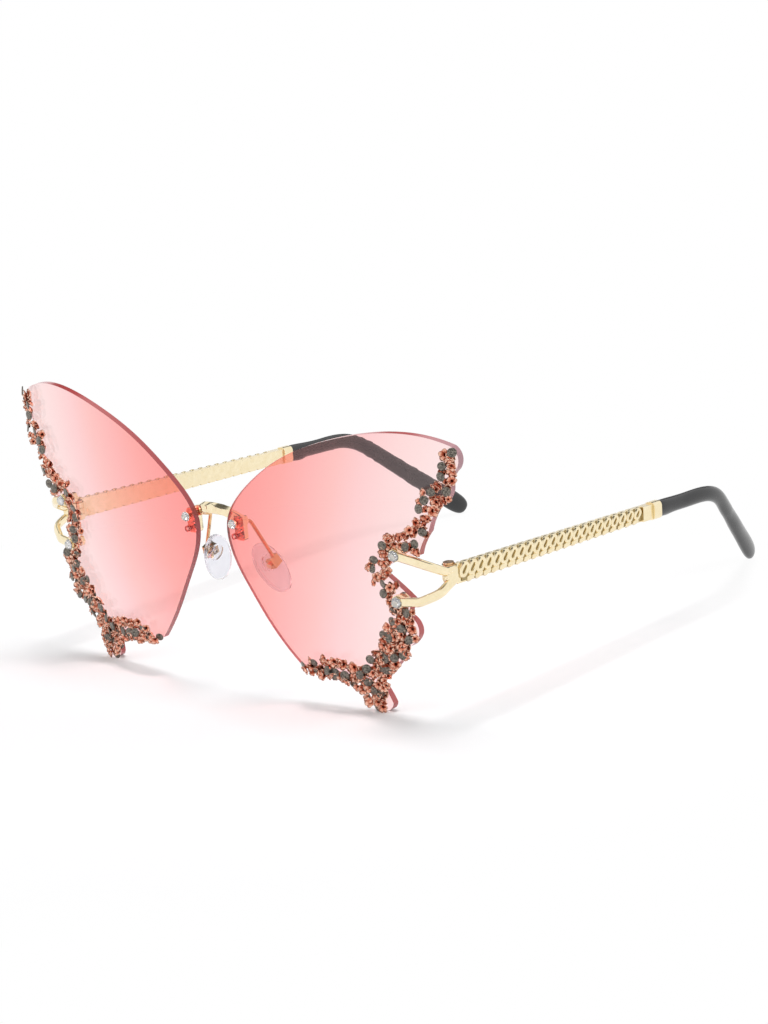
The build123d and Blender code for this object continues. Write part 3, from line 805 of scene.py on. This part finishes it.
# places are across and up, in mm of the home frame
trimLook = {
    "petals": 5, "petalReach": 1.6, "petalWidth": 1.75, "petalRise": 0.7, "petalThick": 0.16,
    "petalRows": 3, "petalColumns": 3, "foot": 0.12, "spread": 0.68, "curl": 1.5, "cup": 0.35,
    "tipRound": 0.2,
    "flowerSpread": {"Lean": 0.5, "Spin": math.pi, "Smallest": 0.85, "Largest": 1.1, "Seed": 3},
    "flowerLift": -0.55,
    "discRadius": 1.2, "discThick": 0.34, "discSides": 14,
    "discRings": [(0.96, 0.0), (1.0, 0.25), (1.0, 0.75), (0.9, 1.0), (0.45, 1.12)],
    "discSpread": {"Lean": 0.4, "Spin": math.pi, "Smallest": 0.92, "Largest": 1.05, "Seed": 4},
    "discLift": 0.55,
    "seed": 11,
    # small flowers round every disc and flower
    "small": 0.74, "smallReach": (0.8, 1.55), "smallRise": (0.1, 1.1), "smallSink": 0.75,
    "smallEach": (1, 1, 2, 2),
    "smallSpread": {"Lean": 0.9, "Spin": math.pi, "Smallest": 0.8, "Largest": 1.15, "Seed": 5},
    # more of both along these lines, with the step and the stray
    "runs": [
        [(25.6, 10.4), (29.0, 8.8), (34.4, 8.5), (39.6, 7.9), (42.6, 6.6), (44.4, 4.6), (45.6, 2.6),
         (47.4, 1.4), (49.0, 1.8), (49.4, 3.8), (48.6, 7.4), (46.2, 9.9), (43.5, 9.5)],
        [(30.6, 9.8), (38.2, 9.2), (44.0, 8.4), (47.2, 5.6), (47.6, 2.6)],
        [(56.4, 27.6), (56.8, 24.0), (55.8, 20.0), (53.2, 16.8), (50.4, 13.8), (47.4, 11.0)],
        [(59.1, 28.1), (59.1, 24.4), (58.1, 21.7), (60.2, 21.3), (57.5, 18.5), (54.8, 15.6), (52.0, 12.9),
         (49.6, 11.0)],
        [(53.3, 21.3), (51.8, 17.4), (50.2, 14.1)],
    ],
    "runStep": 1.55, "runStray": 0.45, "runLift": (0.3, 1.2), "runSize": 0.9, "discEvery": 3,
    # more flowers beside the two stones and along the upper prong
    "beside": [
        (56.9, 43.9), (56.5, 42.4), (57.4, 45.1), (59.0, 45.4), (57.0, 41.0), (60.6, 45.2), (62.0, 44.9),
        (63.3, 44.6), (64.3, 44.1), (65.1, 43.5), (56.0, 32.0), (55.8, 30.4), (56.5, 28.8), (58.0, 28.2),
        (57.2, 33.2), (59.5, 28.3),
    ],
    "besideLift": 0.3, "besideSize": 0.85,
}


def islands(name):
    # middle of every separate solid of a CAD node
    digits = 5  # of a metre, far below the distance between two solids
    form = bmesh.new()
    form.from_mesh(nodes[name].data)
    bmesh.ops.remove_doubles(form, verts=form.verts, dist=mergeGap)
    left = set(form.verts)
    middles = []
    while left:
        heap = [left.pop()]
        island = list(heap)
        while heap:
            for edge in heap.pop().link_edges:
                for vert in edge.verts:
                    if vert in left:
                        left.remove(vert)
                        heap.append(vert)
                        island.append(vert)
        low = Vector([min(vert.co[axis] for vert in island) for axis in range(3)])
        high = Vector([max(vert.co[axis] for vert in island) for axis in range(3)])
        middles.append((low + high) / 2)
    form.free()
    # the solids are found in any order, and the random draws need the same one each run
    return sorted(middles, key=lambda middle: (round(middle.z, digits), round(middle.x, digits)))


def petalTemplate():
    # cupped petals round a middle, each a thin cushion that stands up at its tip
    look = trimLook
    points, faces, shade = [], [], []
    rows, columns = look["petalRows"], look["petalColumns"]
    for petal in range(look["petals"]):
        turn = Matrix.Rotation(2 * math.pi * petal / look["petals"], 3, "Z")
        first = len(points)
        for face in (1, -1):
            for row in range(rows + 1):
                reach = row / rows
                width = look["petalWidth"] * math.sin(math.pi * (look["foot"] + look["spread"] * reach))
                for column in range(columns + 1):
                    across = 2 * column / columns - 1
                    cup = look["petalRise"] * (reach ** look["curl"] + look["cup"] * across * across * reach)
                    rim = row in (0, rows) or column in (0, columns)
                    lift = cup + (0 if rim else face * look["petalThick"])
                    along = look["petalReach"] * reach * (1 - look["tipRound"] * across * across)
                    points.append(turn @ Vector((along, width * across / 2, lift)) * mm)
                    shade.append(reach)
        size = (rows + 1) * (columns + 1)
        for row in range(rows):
            for column in range(columns):
                a = first + row * (columns + 1) + column
                quad = (a, a + columns + 1, a + columns + 2, a + 1)
                faces.append(quad)
                faces.append(tuple(index + size for index in reversed(quad)))
    mesh = newMesh("petals", points, faces)
    # reach drives the painted shade at a petal's foot and the painted highlight at its tip
    attribute = mesh.attributes.new("reach", "FLOAT", "POINT")
    attribute.data.foreach_set("value", shade)
    form = bmesh.new()
    form.from_mesh(mesh)
    bmesh.ops.remove_doubles(form, verts=form.verts, dist=mergeGap)
    bmesh.ops.recalc_face_normals(form, faces=form.faces)
    form.to_mesh(mesh)
    form.free()
    return mesh


def discTemplate():
    look = trimLook
    count, rings = look["discSides"], look["discRings"]
    points = []
    for radius, level in rings:
        for number in range(count):
            turn = 2 * math.pi * number / count
            place = Vector((math.cos(turn), math.sin(turn), 0)) * look["discRadius"] * radius
            points.append((place + Vector((0, 0, look["discThick"] * level))) * mm)
    faces = ringFaces(len(rings), count)
    faces.append(tuple(range((len(rings) - 1) * count, len(rings) * count)))
    faces.append(tuple(reversed(range(count))))
    return newMesh("disc", points, faces)


def aimed(point):
    # X across the lens front, Z out of it
    out = facing(point)
    across = Vector((0, 0, 1)).cross(out).normalized()
    return Matrix((across, out.cross(across), out)).transposed()


def onLens(across, level):
    spot = Vector((across * mm, 0, level * mm + rowShift.z))
    spot.y = frontAt(spot)
    return spot


def walk(corners, step):
    # places at an even step along a line of corners
    found = []
    for (x0, z0), (x1, z1) in zip(corners, corners[1:]):
        count = max(1, round(math.hypot(x1 - x0, z1 - z0) / step))
        for number in range(count):
            found.append((x0 + (x1 - x0) * number / count, z0 + (z1 - z0) * number / count))
    return found + [corners[-1]]


def trimSpots():
    # where the discs, the flowers and the small flowers of the left lens go
    look = trimLook
    dice = random.Random(look["seed"])
    one = Vector((1, 1, 1))
    discs, flowers, buds = [], [], []
    for kind, spots, lift in (("discs", discs, look["discLift"]), ("flowers", flowers, look["flowerLift"])):
        for middle in islands("trim_" + kind + "_left"):
            turn = aimed(middle)
            out = turn.col[2]
            spots.append((middle + out * lift * mm, turn, one))
            for bud in range(dice.choice(look["smallEach"])):
                angle, reach = dice.uniform(0, 2 * math.pi), dice.uniform(*look["smallReach"])
                beside = turn @ Vector((math.cos(angle), math.sin(angle), 0)) * reach * mm
                up = out * (dice.uniform(*look["smallRise"]) - look["smallSink"]) * mm
                buds.append((middle + beside + up, turn, one * look["small"]))
    for across, level in look["beside"]:
        spot = onLens(across, level)
        lifted = spot + facing(spot) * look["besideLift"] * mm
        flowers.append((lifted, aimed(spot), one * look["besideSize"]))
    for run in look["runs"]:
        for number, (across, level) in enumerate(walk(run, look["runStep"])):
            stray = [dice.uniform(-look["runStray"], look["runStray"]) for axis in range(2)]
            spot = onLens(across + stray[0], level + stray[1])
            spot += facing(spot) * dice.uniform(*look["runLift"]) * mm
            spots = flowers if number % look["discEvery"] else discs
            spots.append((spot, aimed(spot), one * look["runSize"]))
    return discs, flowers, buds


def makeTrim():
    look = trimLook
    discs, flowers, buds = trimSpots()
    petals = petalTemplate()
    copper = [
        repeat(flowers, petals, "petalFoil", **look["flowerSpread"]),
        repeat(buds, petals, "petalFoil", **look["smallSpread"]),
    ]
    shine = repeat(discs, discTemplate(), "glitter", **look["discSpread"])
    bothSides("trimPetals", joined("trimPetals", copper), ["front", "front"], ["trim_flowers"])
    bothSides("trimDiscs", shine, ["front", "front"], ["trim_discs"])


makeTrim()
print("trim ready")


# Camera, light and floor

shot = {
    "place": Vector((722.44, -690.28, 322.56)) * mm,
    "right": Vector((0.7342, 0.6725, -0.0935)),
    "up": Vector((-0.1172, 0.2611, 0.9582)),
    "lens": 143.38, "sensor": 36, "nearest": 0.01,
}


def placeCamera():
    data = bpy.data.cameras.new("photoCamera")
    data.sensor_width = shot["sensor"]
    data.sensor_fit = "AUTO"
    data.lens = shot["lens"]
    data.clip_start = shot["nearest"]
    camera = bpy.data.objects.new("photoCamera", data)
    scene.collection.objects.link(camera)
    right = shot["right"].normalized()
    back = right.cross(shot["up"]).normalized()
    turn = Matrix((right, back.cross(right), back)).transposed()
    camera.matrix_world = Matrix.Translation(shot["place"] + rowShift) @ turn.to_4x4()
    scene.camera = camera


lamps = {
    "overhead": {"place": (0.0, 0.05, 0.75), "target": (0, 0, 0), "size": (0.24, 0.22), "power": 3.0},
    "frontLeft": {"place": (-0.55, -0.75, 0.45), "target": (0, 0, 0.03), "size": (0.5, 0.5), "power": 2.2},
    "rearRight": {"place": (0.7, 0.5, 0.5), "target": (0, 0, 0.03), "size": (0.4, 0.5), "power": 2.0},
}


def placeLamp(name, look):
    data = bpy.data.lights.new(name, "AREA")
    data.shape = "RECTANGLE"
    data.size, data.size_y = look["size"]
    data.energy = look["power"]
    lamp = bpy.data.objects.new(name, data)
    scene.collection.objects.link(lamp)
    place = Vector(look["place"])
    lamp.location = place
    lamp.visible_glossy = False
    lamp.rotation_mode = "QUATERNION"
    lamp.rotation_quaternion = (Vector(look["target"]) - place).to_track_quat("-Z", "Y")


studio = {
    "worldLight": 0.55, "floorSize": 6.0, "floorColour": (0.78, 0.78, 0.79), "floorGlow": 0.08,
    "centre": (0.0, -0.075, 0.0), "fadeFrom": 0.085, "fadeTo": 0.17,
}


def seenDirectly(tree):
    # 1 for what the camera sees, also in a mirror or through glass
    path = addNode(tree, "ShaderNodeLightPath")
    first = addNode(tree, "ShaderNodeMath", operation="MAXIMUM")
    join(tree, path.outputs["Is Camera Ray"], first.inputs[0])
    join(tree, path.outputs["Is Glossy Ray"], first.inputs[1])
    both = addNode(tree, "ShaderNodeMath", operation="MAXIMUM")
    join(tree, first.outputs[0], both.inputs[0])
    join(tree, path.outputs["Is Transmission Ray"], both.inputs[1])
    return both.outputs[0]


def makeWorld():
    world = bpy.data.worlds.new("studio")
    world.use_nodes = True
    scene.world = world
    tree = world.node_tree
    background = tree.nodes["Background"]
    strength = addNode(tree, "ShaderNodeMapRange", {"To Min": studio["worldLight"], "To Max": 1.0})
    join(tree, seenDirectly(tree), strength.inputs["Value"])
    join(tree, strength.outputs["Result"], background.inputs["Strength"])
    background.inputs["Color"].default_value = (1, 1, 1, 1)


def makeSheet(name, wide, deep):
    # a flat rectangle round its own middle
    x, y = wide / 2, deep / 2
    mesh = bpy.data.meshes.new(name)
    mesh.from_pydata([(-x, -y, 0), (x, -y, 0), (x, y, 0), (-x, y, 0)], [], [(0, 1, 2, 3)])
    sheet = bpy.data.objects.new(name, mesh)
    scene.collection.objects.link(sheet)
    return sheet


def makeFloor():
    floor = makeSheet("floor", studio["floorSize"], studio["floorSize"])
    floor.location = studio["centre"]
    material, tree, skin, end = newMaterial("floorPaper")
    tree.nodes.remove(skin)
    paper = addNode(tree, "ShaderNodeBsdfDiffuse", {"Color": (*studio["floorColour"], 1)})
    glow = addNode(tree, "ShaderNodeEmission", {"Color": (1, 1, 1, 1)})
    strength = addNode(tree, "ShaderNodeMath", {1: studio["floorGlow"]}, operation="MULTIPLY")
    join(tree, seenDirectly(tree), strength.inputs[0])
    join(tree, strength.outputs[0], glow.inputs["Strength"])
    both = addNode(tree, "ShaderNodeAddShader")
    join(tree, paper.outputs[0], both.inputs[0])
    join(tree, glow.outputs[0], both.inputs[1])
    # round the front of the part the paper goes over into plain white
    coords = addNode(tree, "ShaderNodeTexCoord")
    distance = addNode(tree, "ShaderNodeVectorMath", operation="LENGTH")
    join(tree, coords.outputs["Object"], distance.inputs[0])
    far = addNode(tree, "ShaderNodeMapRange", {"From Min": studio["fadeFrom"], "From Max": studio["fadeTo"]})
    far.interpolation_type = "SMOOTHSTEP"
    join(tree, distance.outputs["Value"], far.inputs["Value"])
    white = addNode(tree, "ShaderNodeEmission", {"Color": (1, 1, 1, 1), "Strength": 1.0})
    surface = mixed(tree, far.outputs["Result"], both.outputs[0], white.outputs[0])
    join(tree, surface, end.inputs["Surface"])
    floor.data.materials.append(material)


# dark screens behind and above the part, seen only in its polished upper faces
screens = {
    "behind": {"place": (-0.60, 0.62, 0.40), "size": (1.3, 0.42), "grey": 0.10, "soft": (0.12, 0.21)},
    "above": {"place": (0.0, -0.07, 0.90), "size": (1.5, 0.60), "grey": 0.12, "soft": (0.19, 0.30)},
}
screenTarget = Vector((0, 0, 0.05))


def makeScreen(name, look):
    card = makeSheet("screen" + name.title(), *look["size"])
    place = Vector(look["place"])
    card.location = place
    card.rotation_mode = "QUATERNION"
    card.rotation_quaternion = (screenTarget - place).to_track_quat("Z", "Y")
    card.visible_camera = card.visible_diffuse = False
    card.visible_shadow = card.visible_transmission = False
    material, tree, skin, end = newMaterial("cloth" + name.title())
    tree.nodes.remove(skin)
    cloth = addNode(tree, "ShaderNodeEmission", {"Color": (1, 1, 1, 1), "Strength": look["grey"]})
    coords = addNode(tree, "ShaderNodeTexCoord")
    parts = addNode(tree, "ShaderNodeSeparateXYZ")
    join(tree, coords.outputs["Object"], parts.inputs[0])
    level = addNode(tree, "ShaderNodeMath", operation="ABSOLUTE")
    join(tree, parts.outputs["Y"], level.inputs[0])
    full, gone = look["soft"]
    soft = addNode(tree, "ShaderNodeMapRange", {"From Min": full, "From Max": gone})
    join(tree, level.outputs[0], soft.inputs["Value"])
    clear = addNode(tree, "ShaderNodeBsdfTransparent")
    surface = mixed(tree, soft.outputs["Result"], cloth.outputs[0], clear.outputs[0])
    join(tree, surface, end.inputs["Surface"])
    card.data.materials.append(material)


placeCamera()
for name, look in lamps.items():
    placeLamp(name, look)
makeWorld()
makeFloor()
for name, look in screens.items():
    makeScreen(name, look)
scene.view_settings.view_transform = "Standard"
print("studio ready")
